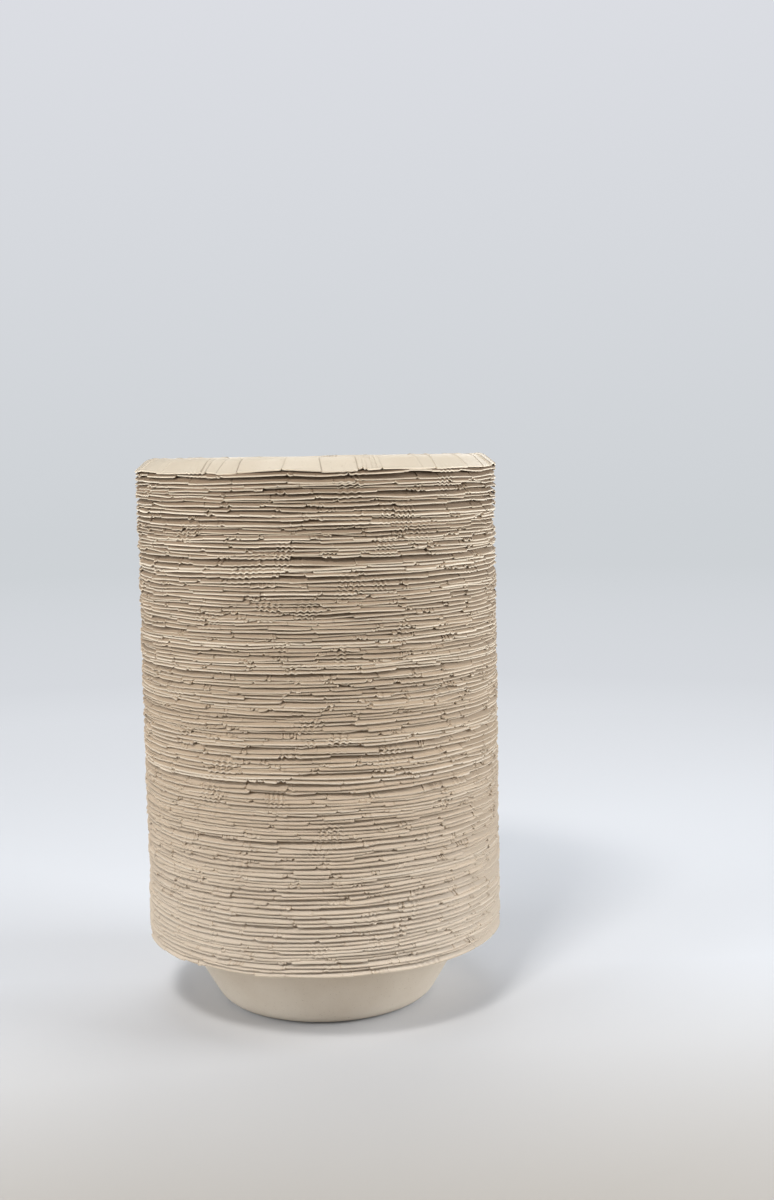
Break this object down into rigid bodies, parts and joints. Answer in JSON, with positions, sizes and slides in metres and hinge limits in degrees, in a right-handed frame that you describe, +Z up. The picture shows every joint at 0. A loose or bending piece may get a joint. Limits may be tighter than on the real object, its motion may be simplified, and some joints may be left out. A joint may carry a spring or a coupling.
{
  "type": "stack of paper bowls",
  "caption": "Tall sleeve of round pleated paper bowls nested one in another, standing on the flat bottom of the lowest; the top bowl is open",
  "frame": {"origin": "on the table, under the middle of the flat bottom of the lowest bowl", "axes": "+Z up along the stack, toward the open top bowl; +X and +Y lie on the table, and the stack looks much the same from every side"},
  "size_m": [0.1594, 0.1594, 0.2433],
  "materials": {
    "foot_card": "matt uncoated face of pressed board, pale cream, with fine fibre grain",
    "crown_card": "matt uncoated face of pressed board, warm tan, with fine fibre grain",
    "coated_card": "satin coated face of pressed board, with radial crimps and creases"
  },
  "bodies": {
    "root": {"bottom_bowl": "foot_card", "bowls_tier_01": "foot_card", "bowls_tier_02": "foot_card", "bowls_tier_03": "foot_card", "bowls_tier_04": "foot_card", "bowls_tier_05": "foot_card", "bowls_tier_06": "foot_card", "bowls_tier_07": "foot_card", "bowls_tier_08": "foot_card", "bowls_tier_09": "foot_card", "bowls_tier_10": "foot_card", "bowls_tier_11": "foot_card", "bowls_tier_12": "foot_card", "bowls_tier_13": "foot_card", "bowls_tier_14": "foot_card", "bowls_tier_15": "foot_card", "bowls_tier_16": "foot_card", "bowls_tier_17": "foot_card", "bowls_tier_18": "foot_card", "bowls_tier_19": "foot_card", "bowls_tier_20": "foot_card", "bowls_tier_21": "crown_card", "bowls_tier_22": "crown_card", "bowls_tier_23": "crown_card", "bowls_tier_24": "crown_card", "bowls_tier_25": "crown_card", "bowls_tier_26": "crown_card", "bowls_tier_27": "crown_card", "bowls_tier_28": "crown_card", "bowls_tier_29": "crown_card", "bowls_tier_30": "crown_card", "bowls_tier_31": "crown_card", "bowls_tier_32": "crown_card", "bowls_tier_33": "crown_card", "bowls_tier_34": "crown_card", "bowls_tier_35": "crown_card", "bowls_tier_36": "crown_card", "bowls_tier_37": "crown_card", "bowls_tier_38": "crown_card", "bowls_tier_39": "crown_card", "bowls_tier_40": "crown_card", "bowls_tier_41": "crown_card", "top_bowl": "coated_card"}
  },
  "joints": []
}
